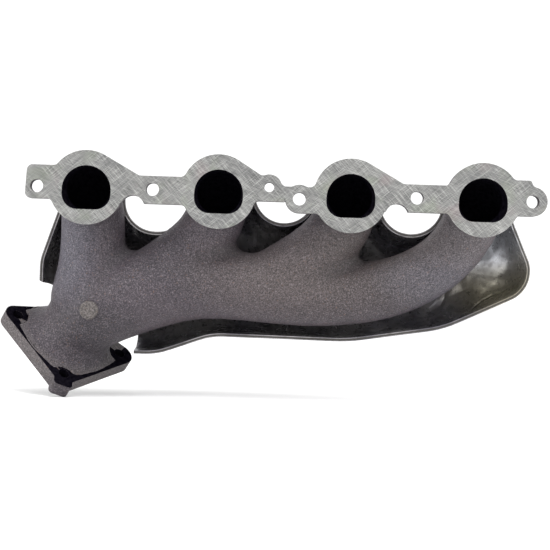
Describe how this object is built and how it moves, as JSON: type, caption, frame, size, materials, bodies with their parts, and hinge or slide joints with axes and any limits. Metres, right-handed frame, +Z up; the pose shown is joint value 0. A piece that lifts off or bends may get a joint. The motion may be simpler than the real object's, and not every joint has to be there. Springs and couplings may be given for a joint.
{
  "type": "exhaust manifold",
  "caption": "Cast-iron log-style exhaust manifold for one bank of a V8 engine, with laminated sheet-steel heat shields bolted to its outboard side.",
  "frame": {"origin": "on the cylinder-head face, midway between the two middle ports", "axes": "+X along the row of ports towards the end away from the outlet, +Z up, +Y outboard, away from the cylinder head"},
  "size_m": [0.4704, 0.1125, 0.2118],
  "materials": {
    "cast_iron": "rough as-cast, machined on the flange faces",
    "shield_steel": "pressed sheet, heat tinted",
    "insulation": "matte fibre mat",
    "fastener_steel": "satin"
  },
  "bodies": {
    "root": {"manifold_casting": "cast_iron", "main_shield_outer_skin": "shield_steel", "main_shield_insulation": "insulation", "main_shield_inner_skin": "shield_steel", "rear_shield_outer_skin": "shield_steel", "rear_shield_insulation": "insulation", "rear_shield_inner_skin": "shield_steel", "shield_bolt_main_1": "fastener_steel", "washer_main_1": "fastener_steel", "eyelet_main_1": "fastener_steel", "shield_bolt_main_2": "fastener_steel", "washer_main_2": "fastener_steel", "eyelet_main_2": "fastener_steel", "shield_bolt_main_3": "fastener_steel", "washer_main_3": "fastener_steel", "eyelet_main_3": "fastener_steel", "shield_bolt_main_4": "fastener_steel", "washer_main_4": "fastener_steel", "eyelet_main_4": "fastener_steel", "shield_bolt_rear_1": "fastener_steel", "washer_rear_1": "fastener_steel", "eyelet_rear_1": "fastener_steel", "shield_bolt_rear_2": "fastener_steel", "washer_rear_2": "fastener_steel", "eyelet_rear_2": "fastener_steel"}
  },
  "joints": []
}
